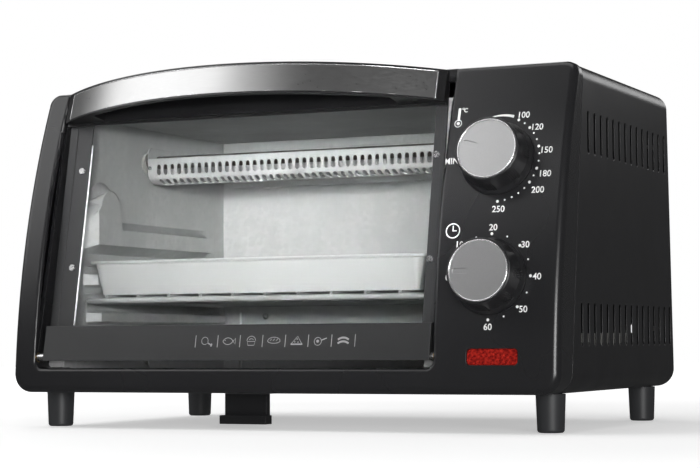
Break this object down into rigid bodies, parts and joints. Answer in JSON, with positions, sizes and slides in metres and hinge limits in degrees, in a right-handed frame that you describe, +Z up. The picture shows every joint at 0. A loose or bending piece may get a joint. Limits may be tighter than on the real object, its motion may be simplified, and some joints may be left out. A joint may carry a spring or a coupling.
{
  "type": "toaster oven",
  "caption": "Countertop toaster oven with a drop-down glass door and bow handle, two rotary controls, a wire rack, a bake tray and a slide-out crumb tray.",
  "frame": {"origin": "on the surface the feet stand on, midway in width and in depth of the whole oven", "axes": "+X to the right seen from the front, +Y to the back, +Z up"},
  "size_m": [0.36, 0.2653, 0.2189],
  "materials": {
    "bezel": "satin black moulding",
    "shell": "satin black enamel",
    "zinc": "zinc plated",
    "panel": "black enamel",
    "screw": "zinc plated",
    "gland": "black",
    "foot": "dark grey",
    "liner": "aluminised sheet",
    "heater": "heater sheath",
    "ceramic": "unglazed",
    "switch": "phenolic case",
    "bell": "plated",
    "lens": "red translucent",
    "holder": "black",
    "wire": "glass braid",
    "block": "white nylon",
    "bronze": "sintered",
    "glass": "clear toughened",
    "strip": "dark grey satin",
    "plate": "dark grey satin",
    "handle": "satin black",
    "steel": "brushed lengthwise",
    "chrome": "chrome plated wire",
    "tray": "pressed aluminium",
    "crumb": "plain sheet",
    "tab": "black",
    "knob": "satin black",
    "knob_face": "satin",
    "knob_rim": "polished"
  },
  "bodies": {
    "casing": {"front_bezel": "bezel", "outer_shell": "shell", "bottom_plate": "zinc", "rear_panel": "panel", "rear_screws": "screw", "cord_gland": "gland", "foot_front_left": "foot", "foot_front_right": "foot", "foot_rear_left": "foot", "foot_rear_right": "foot", "foot_screws": "screw", "cavity_left_wall": "liner", "cavity_right_wall": "liner", "cavity_ceiling": "liner", "cavity_rear_wall": "liner", "crumb_tray_rails": "zinc", "upper_heater": "heater", "lower_heater": "heater", "heater_insulators": "ceramic", "upper_heater_guard": "liner", "lower_heater_guard": "liner", "control_bracket": "zinc", "thermostat_body": "switch", "timer_body": "switch", "timer_bell": "bell", "control_screws": "screw", "lamp_lens": "lens", "lamp_frame": "holder", "neon_lamp": "lens", "wiring": "wire", "terminal_block": "block", "hinge_bushes": "bronze"},
    "door": {"door_glass": "glass", "door_left_rail": "strip", "door_right_rail": "strip", "rail_rivets": "screw", "door_bottom_plate": "plate", "hinge_pins": "screw", "door_inner_bracket": "strip", "handle_body": "handle", "handle_strip": "steel", "handle_screws": "screw"},
    "thermostat_knob": {"thermostat_knob_body": "knob", "thermostat_knob_disc": "knob_face", "thermostat_knob_pointer": "knob_face", "thermostat_knob_rim": "knob_rim", "thermostat_shaft": "screw"},
    "timer_knob": {"timer_knob_body": "knob", "timer_knob_disc": "knob_face", "timer_knob_pointer": "knob_face", "timer_knob_rim": "knob_rim", "timer_shaft": "screw"},
    "rack": {"wire_rack": "chrome", "bake_tray": "tray"},
    "crumb_drawer": {"crumb_tray": "crumb", "crumb_tray_tab": "tab"}
  },
  "joints": [
    {"name": "door_hinge", "type": "hinge", "parent": "casing", "child": "door", "pos_m": [-0.0296, -0.11187, 0.0438], "axis": [1, 0, 0], "range_deg": [0, 95]},
    {"name": "thermostat_turn", "type": "hinge", "parent": "casing", "child": "thermostat_knob", "pos_m": [0.1375, -0.09517, 0.1568], "axis": [0, 0.9681, -0.2504], "range_deg": [-17, 253]},
    {"name": "timer_turn", "type": "hinge", "parent": "casing", "child": "timer_knob", "pos_m": [0.1375, -0.11052, 0.0888], "axis": [0, 0.9871, -0.1599], "range_deg": [0, 270]},
    {"name": "rack_slide", "type": "slide", "parent": "casing", "child": "rack", "axis": [0, -1, 0], "range_m": [0, 0.06]},
    {"name": "crumb_tray_slide", "type": "slide", "parent": "casing", "child": "crumb_drawer", "axis": [0, -1, 0], "range_m": [0, 0.15]}
  ],
  "couplings": [
    {"joint": "rack_slide", "follows": "door_hinge", "m_per_rad": 0.035}
  ]
}
